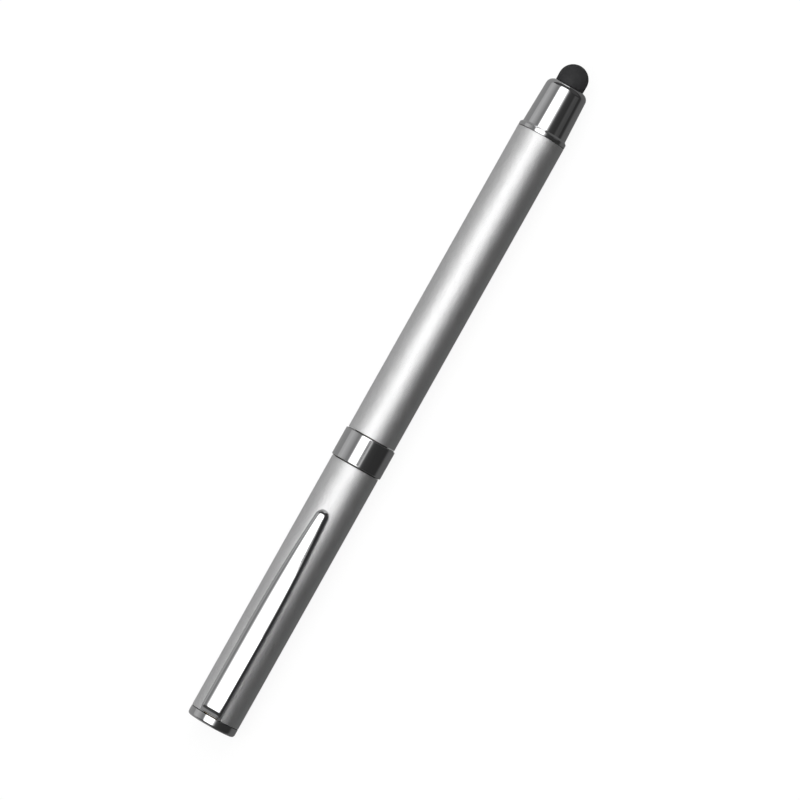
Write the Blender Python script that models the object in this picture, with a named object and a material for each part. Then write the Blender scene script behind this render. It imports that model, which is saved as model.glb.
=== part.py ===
"""Capped rollerball pen with a rubber stylus on its tail, as an assembly of separate pieces.

The pen lies along X on the ground, its stylus at +X and its pocket clip upwards. All sizes are in
metres. Distances along the pen are measured from the flat end of the cap, radii from the pen's axis.
The pen is designed from the refill outwards: each tube's radius is the one inside it plus a wall
and a clearance, so that every piece still fits when one size is changed.
"""

import math

import bmesh
import bpy
from mathutils import Vector

# Clearances
fit_gap = 0.0001
running_gap = 0.00015
seam = 0.0001
band_seam = 0.00018

# Refill and writing point
refill_length = 0.110
refill_diameter = 0.0058
refill_wall = 0.0005
refill_gap = 0.0001
refill_float = 0.0010
head_flange = 0.0015
head_plug_length = 0.0040
tail_flange = 0.0012
tail_plug_length = 0.0030
tail_nub_length = 0.0010
ball_diameter = 0.0007
ball_gap = 0.00004
ball_exposed = 0.0002
point_diameter = 0.0023
point_length = 0.0095
point_cone_length = 0.0019
point_rim = 0.00012
ink_channel_diameter = 0.0004
feed_rod_diameter = 0.0012
feed_rod_reach = 0.0060

# Nose cone and grip section
nib_protrusion = 0.0025
nose_length = 0.0085
nose_lip = 0.0004
nose_swell = 0.00022
nose_seat_depth = 0.0050
nose_spigot_length = 0.0055
nose_spigot_wall = 0.0005
grip_length = 0.0340
grip_wall = 0.00065
grip_taper = 0.00025
grip_waist = 0.0001
grip_rib_count = 5
grip_rib_height = 0.00012
grip_rib_width = 0.0007
grip_rib_pitch = 0.0017
grip_rib_start = 0.0040
shoulder_length = 0.0021
shoulder_rise = 0.0001
ring_thickness = 0.0014
thread_length = 0.0065
thread_runout = 0.0012
thread_wall = 0.0004
thread_gap = 0.0001

# Barrel and stylus
barrel_wall = 0.00055
bush_wall = 0.000675
tail_room = 0.00298
tube_chamfer = 0.0001
stem_length = 0.0045
flange_thickness = 0.0011
collar_step = 0.0004
collar_taper = 0.000285
collar_fillet = 0.0014
spring_length = 0.0060
spring_diameter = 0.0044
spring_wire = 0.00045
spring_coils = 5
seat_wall = 0.0017
skirt_room = 0.00581
dome_diameter = 0.00575
dome_length = 0.00425
dome_lip = 0.0006
dome_wall = 0.0008
core_wall = 0.0008
core_head_height = 0.0012

# Cap
finial_thickness = 0.00171
finial_edge = 0.00045
stud_diameter = 0.0030
stud_length = 0.0036
anchor_length = 0.00419
nib_room = 0.00514
liner_floor_thickness = 0.0007
liner_wall = 0.0005
cap_wall = 0.00045
band_length = 0.00575
band_rise = 0.00025
band_edge = 0.00035
band_spigot_length = 0.0040

# Pocket clip
clip_length = 0.0432
clip_width = 0.0044
clip_root_height = 0.0022
clip_tip_height = 0.0012
clip_root_bend = 0.0017
clip_root_block = 0.0018
clip_blade_depth = 0.00175
clip_shoulder = 0.00115
clip_rest_gap = 0.00012
clip_pad_length = 0.0040
clip_taper_start = 0.0169
clip_tip_width = 0.00245
clip_tip_round = 0.0013
clip_tip_roundness = 0.99
clip_border = 0.00056
clip_crown_share = 0.165
clip_tip_slope = 0.00125
clip_side_edge = 0.0001
clip_sheet = 0.00045
clip_side_wall = 0.00045
tab_thickness = 0.0007
tab_width = 0.0026
tab_depth = 0.0014
tab_gap = 0.00015

# Facets round the outside, the inner pieces and the finest ones
outer_facets = 28
inner_facets = 32
fine_facets = 24
spring_points_per_coil = 9
least_spring_gap = 0.0004
merge_distance = 1e-7

# Stations along the pen, from the flat end of the cap
cap_tube_start = finial_thickness + seam
anchor_end = cap_tube_start + anchor_length
liner_start = anchor_end + fit_gap
liner_floor = liner_start + liner_floor_thickness
nib = liner_floor + nib_room
nose_front = nib + nib_protrusion
nose_rear = nose_front + nose_length
nose_seat = nose_front + nose_seat_depth
nose_spigot_end = nose_rear + nose_spigot_length
grip_front = nose_rear + seam
shoulder_front = grip_front + grip_length
shoulder_rear = shoulder_front + shoulder_length
ring_front = shoulder_rear + fit_gap
ring_rear = ring_front + ring_thickness
barrel_mouth = ring_rear + band_seam
band_end = barrel_mouth - band_seam
band_start = band_end - band_length
band_spigot_start = band_start - band_spigot_length
cap_tube_end = band_start - band_seam
liner_end = band_spigot_start - fit_gap
thread_end = barrel_mouth + thread_length
bush_end = thread_end + thread_runout
tail = nib + refill_length
barrel_end = tail + tail_room
stem_start = barrel_end - stem_length
flange_start = barrel_end + seam
flange_end = flange_start + flange_thickness
spring_start = tail + fit_gap
spring_end = spring_start + spring_length
spring_seat = spring_end + fit_gap
skirt_floor = spring_seat + seat_wall
collar_top = skirt_floor + skirt_room
dome_start = collar_top + fit_gap
dome_end = dome_start + dome_length
pen_length = dome_end

# Radii, from the refill outwards
refill_radius = refill_diameter / 2
section_bore = refill_radius + refill_gap
thread_radius = section_bore + thread_wall
bush_bore = thread_radius + thread_gap
bush_radius = bush_bore + bush_wall
barrel_bore = bush_radius + fit_gap
barrel_radius = barrel_bore + barrel_wall
grip_radius = section_bore + grip_wall
grip_front_radius = grip_radius - grip_taper
shoulder_radius = grip_radius + shoulder_rise
liner_bore = grip_radius + running_gap
liner_radius = liner_bore + liner_wall
cap_bore = liner_radius + fit_gap
cap_radius = cap_bore + cap_wall
band_bore = shoulder_radius + running_gap
band_radius = cap_radius + band_rise
nose_spigot_radius = section_bore - fit_gap
neck_bore = nose_spigot_radius - nose_spigot_wall
neck_radius = neck_bore - running_gap
point_radius = point_diameter / 2
nose_hole = point_radius + running_gap
stem_radius = barrel_bore - fit_gap
spring_radius = spring_diameter / 2
spring_bore = spring_radius + running_gap
collar_radius = barrel_radius - collar_step
collar_top_radius = collar_radius - collar_taper
dome_radius = dome_diameter / 2
skirt_radius = dome_radius - dome_lip
skirt_bore = skirt_radius + fit_gap
core_bore = skirt_radius - core_wall
core_radius = core_bore - fit_gap
stud_radius = stud_diameter / 2
stud_bore = stud_radius + fit_gap

# Clip root: its tab stands in a notch at the end of the cap tube
clip_root = cap_tube_start + tab_gap
notch_end = clip_root + tab_thickness + tab_gap
tab_bottom = cap_radius - tab_depth
clip_hinge_along = clip_root + tab_thickness / 2
clip_hinge_height = cap_radius - tab_depth / 2


def clear_scene():
    """Start from an empty scene."""
    for thing in list(bpy.data.objects):
        bpy.data.objects.remove(thing, do_unlink=True)


def finish(name, colour, roughness, metallic):
    """A plain material."""
    material = bpy.data.materials.new(name)
    material.use_nodes = True
    shader = material.node_tree.nodes["Principled BSDF"]
    shader.inputs["Base Color"].default_value = (*colour, 1.0)
    shader.inputs["Roughness"].default_value = roughness
    shader.inputs["Metallic"].default_value = metallic
    return material


def group(name, parent, along=0.0, height=0.0):
    """An empty that carries the pieces of one moving body."""
    empty = bpy.data.objects.new(name, None)
    bpy.context.collection.objects.link(empty)
    empty.parent = parent
    empty.location = (along, 0.0, height)
    return empty


def add_object(name, mesh_edit, material, parent):
    """Turn an edited mesh into a smooth-shaded object under its parent."""
    bmesh.ops.recalc_face_normals(mesh_edit, faces=mesh_edit.faces)
    mesh = bpy.data.meshes.new(name)
    mesh_edit.to_mesh(mesh)
    mesh_edit.free()
    mesh.shade_smooth()
    mesh.set_sharp_from_angle(angle=math.radians(35))
    if material is not None:
        mesh.materials.append(material)
    thing = bpy.data.objects.new(name, mesh)
    bpy.context.collection.objects.link(thing)
    thing.parent = parent
    return thing


def arc(centre, radius, start, end, steps):
    """Points of a round edge: 0 degrees points along the pen and 90 degrees away from its axis."""
    angles = [math.radians(start + (end - start) * step / steps) for step in range(steps + 1)]
    return [(centre[0] + radius * math.cos(a), centre[1] + radius * math.sin(a)) for a in angles]


def turned(name, outline, material, parent, facets):
    """Spin an outline of (distance along, radius) points round the pen's axis.

    An outline that starts and ends on the axis makes a solid piece and any other makes a tube. The
    facets lie level at the bottom, so that the pen rests on them.
    """
    mesh_edit = bmesh.new()
    half_facet = math.pi / facets
    outward = Vector((0.0, math.sin(half_facet), -math.cos(half_facet)))
    points = [mesh_edit.verts.new(Vector((along, 0.0, 0.0)) + outward * radius) for along, radius in outline]
    edges = [mesh_edit.edges.new(pair) for pair in zip(points, points[1:])]
    if min(radius for along, radius in outline) > 0:
        edges.append(mesh_edit.edges.new((points[-1], points[0])))
    bmesh.ops.spin(mesh_edit, geom=points + edges, cent=(0, 0, 0), axis=(1, 0, 0), angle=math.tau,
                   steps=facets, use_merge=True)
    bmesh.ops.remove_doubles(mesh_edit, verts=mesh_edit.verts, dist=merge_distance)
    return add_object(name, mesh_edit, material, parent)


def box(name, low, high, parent):
    """A plain box between two corners, for cutting or joining."""
    mesh_edit = bmesh.new()
    bmesh.ops.create_cube(mesh_edit, size=1.0)
    for vertex in mesh_edit.verts:
        vertex.co = [(a + b) / 2 + (b - a) * c for a, b, c in zip(low, high, vertex.co)]
    return add_object(name, mesh_edit, None, parent)


def combine(thing, tool, operation):
    """Cut a hidden tool out of an object, or join it on."""
    tool.hide_render = True
    tool.display_type = "WIRE"
    modifier = thing.modifiers.new(tool.name, "BOOLEAN")
    modifier.operation = operation
    modifier.solver = "EXACT"
    modifier.object = tool


def loft(name, rings, material, parent):
    """Skin a row of rings that all have the same number of points, and close both ends."""
    mesh_edit = bmesh.new()
    rows = [[mesh_edit.verts.new(point) for point in ring] for ring in rings]
    for row, following in zip(rows, rows[1:]):
        for index in range(len(row)):
            after = (index + 1) % len(row)
            mesh_edit.faces.new((row[index], row[after], following[after], following[index]))
    mesh_edit.faces.new(rows[0])
    mesh_edit.faces.new(rows[-1])
    return add_object(name, mesh_edit, material, parent)


def make_cap(parent, satin, chrome, plastic, brass):
    """The cap: tube, inner liner, mouth band, finial and the plug that holds the clip."""
    tube = [
        (cap_tube_start, cap_bore),
        (cap_tube_start, cap_radius - tube_chamfer),
        (cap_tube_start + tube_chamfer, cap_radius),
        (cap_tube_end - tube_chamfer, cap_radius),
        (cap_tube_end, cap_radius - tube_chamfer),
        (cap_tube_end, cap_bore),
    ]
    cap_tube = turned("cap_tube", tube, satin, parent, outer_facets)

    liner = [
        (liner_start, 0.0),
        (liner_start, liner_radius),
        (liner_end, liner_radius),
        (liner_end, liner_bore),
        (liner_floor, liner_bore),
        (liner_floor, 0.0),
    ]
    turned("cap_liner", liner, plastic, parent, inner_facets)

    edge_radius = band_radius - band_edge
    band = [(band_spigot_start, band_bore), (band_spigot_start, liner_radius), (band_start, liner_radius)]
    band += arc((band_start + band_edge, edge_radius), band_edge, 180, 90, 3)
    band += arc((band_end - band_edge, edge_radius), band_edge, 90, 0, 3)
    band += [(band_end, band_bore)]
    turned("cap_band", band, chrome, parent, outer_facets)

    finial = [(0.0, 0.0)]
    finial += arc((finial_edge, cap_radius - finial_edge), finial_edge, 180, 90, 4)
    finial += [
        (finial_thickness - tube_chamfer, cap_radius),
        (finial_thickness, cap_radius - tube_chamfer),
        (finial_thickness, stud_radius),
        (finial_thickness + stud_length, stud_radius),
        (finial_thickness + stud_length, 0.0),
    ]
    turned("cap_finial", finial, chrome, parent, outer_facets)

    anchor = [
        (cap_tube_start, stud_bore),
        (cap_tube_start, liner_radius),
        (anchor_end, liner_radius),
        (anchor_end, stud_bore),
    ]
    clip_anchor = turned("clip_anchor", anchor, brass, parent, inner_facets)

    half_notch = tab_width / 2 + tab_gap
    notch_low = (finial_thickness, -half_notch, tab_bottom - tab_gap)
    notch_high = (notch_end, half_notch, cap_radius + clip_root_height)
    notch = box("clip_notch", notch_low, notch_high, parent)
    combine(cap_tube, notch, "DIFFERENCE")
    combine(clip_anchor, notch, "DIFFERENCE")


def clip_taper(distance):
    """How far the clip has drawn in: 0 along its straight part, 1 at its tip."""
    return max(0.0, (distance - clip_taper_start) / (clip_length - clip_taper_start)) ** 2


def clip_nose(distance):
    """The share of its width that the clip keeps in its rounded nose, 1 before it."""
    into_tip = max(0.0, (distance - clip_length + clip_tip_round) / clip_tip_round)
    return math.sqrt(1.0 - (clip_tip_roundness * into_tip) ** 2)


def clip_half_width(distance):
    """Half the clip's width: straight at first, then drawn in along a curve to a rounded tip."""
    width = clip_width - (clip_width - clip_tip_width) * clip_taper(distance)
    return width / 2 * clip_nose(distance)


def clip_top(distance):
    """Height of the clip's back over the cap, bent down at the root and curved down at the tip."""
    slope = (clip_root_height - clip_tip_height) / clip_length
    height = clip_root_height - slope * distance
    into_bend = max(0.0, 1.0 - distance / clip_root_bend)
    drop = clip_root_bend * (1.0 - math.sqrt(1.0 - into_bend ** 2))
    into_tip = max(0.0, 1.0 - (clip_length - distance) / clip_tip_slope)
    fall = clip_tip_height - clip_rest_gap - clip_side_edge
    return height - drop - fall * into_tip ** 2


def clip_bottom(distance):
    """Height of the clip's lower edges over the cap: down at the root block and at the tip's pad."""
    blade_start = clip_root_block + clip_blade_depth
    pad_start = clip_length - clip_pad_length
    if distance <= clip_root_block or distance >= pad_start:
        return clip_rest_gap
    blade_root = clip_root_height - clip_blade_depth
    if distance < blade_start:
        rise = (distance - clip_root_block) / clip_blade_depth
    else:
        rise = (pad_start - distance) / (pad_start - blade_start)
    return clip_rest_gap + (blade_root - clip_rest_gap) * rise


def clip_section(distance):
    """Outline of the clip across the pen: a crowned back, rounded borders and flat sides."""
    half_width = clip_half_width(distance)
    top = clip_top(distance)
    bottom = clip_bottom(distance)
    rise = min(top - bottom, clip_shoulder) - clip_side_edge
    border = min(clip_border, 0.9 * half_width)
    crown = min(clip_crown_share * half_width, rise / 2)
    side = [(half_width, bottom)]
    curved = [half_width - border * (1.0 - math.cos(math.radians(18 * step))) for step in range(6)]
    for across in curved + [curved[-1] / 2]:
        into_border = max(0.0, 1.0 - (half_width - across) / border)
        fall = (rise - crown) * (1.0 - math.sqrt(1.0 - into_border ** 2))
        side.append((across, top - crown * (across / half_width) ** 2 - fall))
    outline = side + [(0.0, top)] + [(-across, height) for across, height in reversed(side)]
    return [clip_point(distance, across, height) for across, height in outline]


def clip_channel(distance):
    """Outline of the hollow under the blade at one distance from the root."""
    half_width = clip_half_width(distance) - clip_side_wall
    top = clip_top(distance) - clip_sheet
    bottom = clip_bottom(distance) - clip_blade_depth
    eaves = top - clip_crown_share * half_width
    left = [(half_width, bottom), (half_width, eaves)]
    right = [(-half_width, eaves), (-half_width, bottom)]
    return [clip_point(distance, across, height) for across, height in left + [(0.0, top)] + right]


def clip_point(distance, across, height):
    """A point of the clip, given from its root and the cap's surface, measured from its hinge."""
    along = clip_root + distance - clip_hinge_along
    return (along, across, cap_radius + height - clip_hinge_height)


def make_clip(parent, chrome):
    """The sprung pocket clip: a hollow tapered blade, a root bent down and a tab into the cap."""
    root = [clip_root_bend * (1.0 - math.cos(math.radians(22.5 * step))) for step in range(5)]
    tip = [clip_length - clip_tip_round * (1.0 - math.sin(math.radians(22.5 * step))) for step in range(5)]
    blade_start = clip_root_block + clip_blade_depth
    pad_start = clip_length - clip_pad_length
    tapered = [clip_taper_start + (pad_start - clip_taper_start) * step / 6 for step in range(7)]
    distances = root + [clip_root_block, blade_start] + tapered + tip
    clip = loft("clip", [clip_section(distance) for distance in distances], chrome, parent)

    channel_start = blade_start + clip_sheet
    channel_end = pad_start - clip_sheet
    taper_room = channel_end - clip_taper_start
    spans = [channel_start] + [clip_taper_start + taper_room * step / 4 for step in range(5)]
    channel = loft("clip_channel", [clip_channel(distance) for distance in spans], None, parent)
    combine(clip, channel, "DIFFERENCE")

    half_tab = Vector((tab_thickness / 2, tab_width / 2, 0.0))
    foot = Vector((0.0, 0.0, tab_bottom - clip_hinge_height))
    head = Vector((0.0, 0.0, cap_radius + (clip_root_height - clip_root_bend) / 2 - clip_hinge_height))
    tab = box("clip_tab", foot - half_tab, head + half_tab, parent)
    combine(clip, tab, "UNION")


def make_barrel(parent, satin, brass):
    """The barrel: an open tube with a threaded bush in its mouth."""
    tube = [
        (barrel_mouth, barrel_bore),
        (barrel_mouth, barrel_radius - tube_chamfer),
        (barrel_mouth + tube_chamfer, barrel_radius),
        (barrel_end - tube_chamfer, barrel_radius),
        (barrel_end, barrel_radius - tube_chamfer),
        (barrel_end, barrel_bore),
    ]
    turned("barrel_tube", tube, satin, parent, outer_facets)

    bush = [
        (barrel_mouth, bush_bore + tube_chamfer),
        (barrel_mouth, bush_radius),
        (bush_end, bush_radius),
        (bush_end, bush_bore),
        (barrel_mouth + tube_chamfer, bush_bore),
    ]
    turned("barrel_bush", bush, brass, parent, inner_facets)


def make_stylus(parent, chrome, rubber, plastic):
    """The stylus: a turned collar pressed into the barrel, a hollow rubber tip and its core pin."""
    tail_bore = refill_radius + running_gap
    tail_bore_end = tail + refill_float + running_gap
    fillet = min(collar_fillet, collar_top_radius - skirt_bore - fit_gap)
    collar = [
        (spring_seat, 0.0),
        (spring_seat, spring_bore),
        (tail_bore_end, spring_bore),
        (tail_bore_end, tail_bore),
        (stem_start, tail_bore),
        (stem_start, stem_radius),
        (flange_start, stem_radius),
        (flange_start, barrel_radius - tube_chamfer),
        (flange_start + tube_chamfer, barrel_radius),
        (flange_end - collar_step, barrel_radius),
        (flange_end, collar_radius),
    ]
    collar += arc((collar_top - fillet, collar_top_radius - fillet), fillet, 90, 0, 5)
    collar += [(collar_top, skirt_bore), (skirt_floor, skirt_bore), (skirt_floor, 0.0)]
    turned("stylus_collar", collar, chrome, parent, outer_facets)

    dome_centre = (dome_end - dome_radius, 0.0)
    skirt_start = skirt_floor + fit_gap
    tip = arc(dome_centre, dome_radius, 0, 90, 6)
    tip += [
        (dome_start, dome_radius),
        (dome_start, skirt_radius),
        (skirt_start, skirt_radius),
        (skirt_start, core_bore),
        (dome_start + dome_wall, core_bore),
    ]
    tip += arc(dome_centre, dome_radius - dome_wall, 90, 0, 4)
    tip[0] = (dome_end, 0.0)
    tip[-1] = (dome_end - dome_wall, 0.0)
    turned("stylus_tip", tip, rubber, parent, inner_facets)

    core_end = dome_start + dome_wall + core_head_height
    core_round = core_radius / 2
    core = [(skirt_start, 0.0), (skirt_start, core_radius)]
    core += arc((core_end - core_round, core_radius - core_round), core_round, 90, 0, 3)
    core += [(core_end, 0.0)]
    turned("stylus_core", core, plastic, parent, fine_facets)


def make_spring(parent, steel):
    """The compression spring behind the refill, wound as one unbroken tube."""
    wire_radius = spring_wire / 2
    mean_radius = spring_radius - wire_radius
    advance = spring_length - spring_wire
    count = spring_coils * spring_points_per_coil
    curve = bpy.data.curves.new("refill_spring", "CURVE")
    curve.dimensions = "3D"
    curve.bevel_depth = wire_radius
    curve.bevel_resolution = 1
    curve.use_fill_caps = True
    spline = curve.splines.new("POLY")
    spline.points.add(count)
    path = []
    for index, point in enumerate(spline.points):
        turn = math.tau * index / spring_points_per_coil
        along = spring_start + wire_radius + advance * index / count
        place = Vector((along, mean_radius * math.cos(turn), mean_radius * math.sin(turn)))
        path.append(place)
        point.co = (*place, 1.0)
    curve.materials.append(steel)
    spring = bpy.data.objects.new("refill_spring", curve)
    bpy.context.collection.objects.link(spring)
    spring.parent = parent

    half_coil = spring_points_per_coil // 2
    least_gap = min((a - b).length for i, a in enumerate(path) for b in path[i + half_coil:]) - spring_wire
    print(f"refill_spring: least gap to itself {least_gap * 1000:.2f} mm, over {least_spring_gap * 1000:.1f} mm")


def make_section(section, ring_group, plastic, chrome):
    """The grip section with its nose cone, and the loose ring between it and the barrel."""
    waist = grip_front_radius - grip_waist
    ribs_start = grip_front + grip_rib_start
    ribs_end = ribs_start + (grip_rib_count - 1) * grip_rib_pitch + grip_rib_width
    grip = [
        (grip_front, section_bore),
        (grip_front, grip_front_radius - tube_chamfer),
        (grip_front + tube_chamfer, grip_front_radius),
        (ribs_start - grip_rib_pitch, waist),
    ]
    for rib in range(grip_rib_count):
        rib_start = ribs_start + rib * grip_rib_pitch
        rib_end = rib_start + grip_rib_width
        crest = waist + grip_rib_height
        grip += [
            (rib_start, waist),
            (rib_start + grip_rib_height, crest),
            (rib_end - grip_rib_height, crest),
            (rib_end, waist),
        ]
    rise = shoulder_front - ribs_end
    for step in range(1, 7):
        part = step / 6
        swell = math.sin(part * math.pi / 2) ** 1.5
        grip.append((ribs_end + rise * part, waist + (grip_radius - waist) * swell))
    grip += [
        (shoulder_front + shoulder_rise, shoulder_radius),
        (shoulder_rear - tube_chamfer, shoulder_radius),
        (shoulder_rear, shoulder_radius - tube_chamfer),
        (shoulder_rear, thread_radius),
        (thread_end - tube_chamfer, thread_radius),
        (thread_end, thread_radius - tube_chamfer),
        (thread_end, section_bore),
    ]
    turned("grip_section", grip, plastic, section, outer_facets)

    nose_tip_radius = nose_hole + nose_lip
    nose = [
        (nose_seat, neck_bore),
        (nose_seat, nose_hole),
        (nose_front, nose_hole),
        (nose_front, nose_tip_radius - tube_chamfer),
    ]
    for step in range(7):
        part = step / 6
        cone = nose_tip_radius + (grip_front_radius - nose_tip_radius) * part
        along = nose_front + tube_chamfer + (nose_length - tube_chamfer) * part
        nose.append((along, cone + nose_swell * math.sin(part * math.pi)))
    nose += [
        (nose_rear, nose_spigot_radius),
        (nose_spigot_end, nose_spigot_radius),
        (nose_spigot_end, neck_bore),
    ]
    turned("nose_cone", nose, chrome, section, outer_facets)

    ring_bore = thread_radius + thread_gap
    ring = [
        (ring_front, ring_bore),
        (ring_front, shoulder_radius - tube_chamfer),
        (ring_front + tube_chamfer, shoulder_radius),
        (ring_rear - tube_chamfer, shoulder_radius),
        (ring_rear, shoulder_radius - tube_chamfer),
        (ring_rear, ring_bore),
    ]
    turned("section_ring", ring, chrome, ring_group, outer_facets)


def make_refill(refill, ball_group, plastic, clear_plastic, steel, fibre):
    """The refill: metal point with its ball, head, ink tube, ink filler, feed rod and tail plug."""
    ball_radius = ball_diameter / 2
    socket_radius = ball_radius + ball_gap
    point_face = nib + ball_exposed
    socket_floor = nib + ball_diameter + ball_gap
    point_end = point_face + point_length
    rod_radius = feed_rod_diameter / 2
    rod_bore = rod_radius + fit_gap
    rod_seat = point_end - feed_rod_reach
    channel = ink_channel_diameter / 2
    point = [
        (point_face, socket_radius),
        (point_face, socket_radius + point_rim),
        (point_face + point_cone_length, point_radius),
        (point_end, point_radius),
        (point_end, rod_bore),
        (rod_seat, rod_bore),
        (rod_seat, channel),
        (socket_floor, channel),
        (socket_floor, socket_radius),
    ]
    turned("refill_tip", point, steel, refill, fine_facets)

    mesh_edit = bmesh.new()
    bmesh.ops.create_uvsphere(mesh_edit, u_segments=16, v_segments=10, radius=ball_radius)
    add_object("refill_ball", mesh_edit, steel, ball_group)

    neck_start = nose_seat + running_gap
    flange_front = nose_spigot_end + fit_gap
    flange_rear = flange_front + head_flange
    tube_bore = refill_radius - refill_wall
    plug_radius = tube_bore - fit_gap
    plug_end = flange_rear + head_plug_length
    point_socket = point_radius + fit_gap
    head = [
        (neck_start, point_socket),
        (neck_start, neck_radius - running_gap),
        (neck_start + running_gap, neck_radius),
        (flange_front, neck_radius),
        (flange_front, refill_radius),
        (flange_rear, refill_radius),
        (flange_rear, plug_radius),
        (plug_end, plug_radius),
        (plug_end, rod_bore),
        (point_end + fit_gap, rod_bore),
        (point_end + fit_gap, point_socket),
    ]
    turned("refill_head", head, plastic, refill, inner_facets)

    tube_start = flange_rear + fit_gap
    tube_end = tail - tail_flange - fit_gap
    tube = [
        (tube_start, tube_bore),
        (tube_start, refill_radius),
        (tube_end, refill_radius),
        (tube_end, tube_bore),
    ]
    turned("refill_tube", tube, clear_plastic, refill, inner_facets)

    tail_plug_start = tail - tail_flange - tail_plug_length
    nub_radius = spring_radius - spring_wire - running_gap
    tail_plug = [
        (tail_plug_start, 0.0),
        (tail_plug_start, plug_radius),
        (tail - tail_flange, plug_radius),
        (tail - tail_flange, refill_radius),
        (tail, refill_radius),
        (tail, nub_radius),
        (tail + tail_nub_length, nub_radius),
        (tail + tail_nub_length, 0.0),
    ]
    turned("refill_tail_plug", tail_plug, plastic, refill, inner_facets)

    filler_start = plug_end + fit_gap
    filler_end = tail_plug_start - fit_gap
    filler = [(filler_start, 0.0), (filler_start, plug_radius), (filler_end, plug_radius), (filler_end, 0.0)]
    turned("ink_filler", filler, fibre, refill, inner_facets)

    rod_start = rod_seat + fit_gap
    rod_end = filler_start - fit_gap
    rod = [(rod_start, 0.0), (rod_start, rod_radius), (rod_end, rod_radius), (rod_end, 0.0)]
    turned("feed_rod", rod, fibre, refill, fine_facets)


def main():
    """Build every piece under the empties of its moving body."""
    clear_scene()
    satin = finish("satin silver", (0.60, 0.60, 0.60), 0.35, 1.0)
    chrome = finish("bright chrome", (0.66, 0.66, 0.67), 0.08, 1.0)
    brass = finish("brass", (0.72, 0.55, 0.28), 0.30, 1.0)
    steel = finish("steel", (0.56, 0.56, 0.57), 0.25, 1.0)
    rubber = finish("black rubber", (0.035, 0.035, 0.036), 0.60, 0.0)
    black_plastic = finish("black plastic", (0.02, 0.02, 0.022), 0.35, 0.0)
    white_plastic = finish("white plastic", (0.78, 0.78, 0.76), 0.45, 0.0)
    clear_plastic = finish("milky plastic", (0.70, 0.72, 0.74), 0.30, 0.0)
    fibre = finish("inked fibre", (0.03, 0.03, 0.05), 0.90, 0.0)

    pen = group("pen_axis", None, -pen_length / 2, band_radius)
    barrel = group("barrel_body", pen)
    ring_group = group("section_ring_body", barrel)
    section = group("section_body", ring_group)
    refill = group("refill_body", section)
    ball_group = group("ball_body", refill, nib + ball_diameter / 2)
    cap = group("cap_body", section)
    clip_group = group("clip_body", cap, clip_hinge_along, clip_hinge_height)

    make_cap(cap, satin, chrome, white_plastic, brass)
    make_clip(clip_group, chrome)
    make_barrel(barrel, satin, brass)
    make_stylus(barrel, chrome, rubber, black_plastic)
    make_spring(barrel, steel)
    make_section(section, ring_group, black_plastic, chrome)
    make_refill(refill, ball_group, black_plastic, clear_plastic, steel, fibre)


main()
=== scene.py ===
import math

import bmesh
import bpy
import numpy as np
from mathutils import Matrix, Vector


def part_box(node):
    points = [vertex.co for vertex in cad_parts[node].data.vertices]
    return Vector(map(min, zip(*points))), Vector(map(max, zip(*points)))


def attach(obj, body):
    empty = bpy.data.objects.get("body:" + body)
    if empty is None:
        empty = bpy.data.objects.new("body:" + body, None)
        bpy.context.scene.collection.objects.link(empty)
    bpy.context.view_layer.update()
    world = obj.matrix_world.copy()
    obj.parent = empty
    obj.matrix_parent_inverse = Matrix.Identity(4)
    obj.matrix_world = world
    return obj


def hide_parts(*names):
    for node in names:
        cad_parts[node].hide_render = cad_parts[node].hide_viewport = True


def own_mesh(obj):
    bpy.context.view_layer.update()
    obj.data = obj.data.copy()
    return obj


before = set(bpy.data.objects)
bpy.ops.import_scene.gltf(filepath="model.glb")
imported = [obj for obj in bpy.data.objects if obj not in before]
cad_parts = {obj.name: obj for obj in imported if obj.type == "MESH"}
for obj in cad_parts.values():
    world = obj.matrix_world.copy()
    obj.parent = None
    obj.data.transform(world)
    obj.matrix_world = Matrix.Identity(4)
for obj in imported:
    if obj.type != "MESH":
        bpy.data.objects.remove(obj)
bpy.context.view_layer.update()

# The CAD tubes are prisms with these numbers of sides, flat at the bottom and at the left and right
outer_facets = 28
inner_facets = 32
fine_facets = 24


def reach(node):
    """Where a CAD node starts and ends along the pen."""
    low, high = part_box(node)
    return low.x, high.x


def true_radius(node, facets):
    """The radius of the circle through the corners of a faceted CAD tube."""
    low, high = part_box(node)
    return (high.y - low.y) / 2 / math.cos(math.pi / facets)


# Stations along the pen
pen_start, stud_end = reach("cap_finial")
cap_start, cap_end = reach("cap_tube")
liner_start, liner_end = reach("cap_liner")
band_spigot_start, band_end = reach("cap_band")
nose_front, nose_spigot_end = reach("nose_cone")
grip_front, thread_end = reach("grip_section")
ring_front, ring_rear = reach("section_ring")
barrel_mouth, barrel_end = reach("barrel_tube")
bush_end = reach("barrel_bush")[1]
stem_start, collar_top = reach("stylus_collar")
skirt_start, pen_end = reach("stylus_tip")
point_face, point_end = reach("refill_tip")
clip_root, clip_tip = reach("clip")
seam = 0.0001
band_seam = 0.00018
groove_depth = 0.00006
fit_gap = 0.0001
finial_end = cap_start - seam
band_start = cap_end + band_seam
nose_rear = grip_front - seam
shoulder_rear = ring_front - fit_gap
flange_start = barrel_end + seam
skirt_floor = skirt_start - fit_gap
dome_start = collar_top + fit_gap

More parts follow.
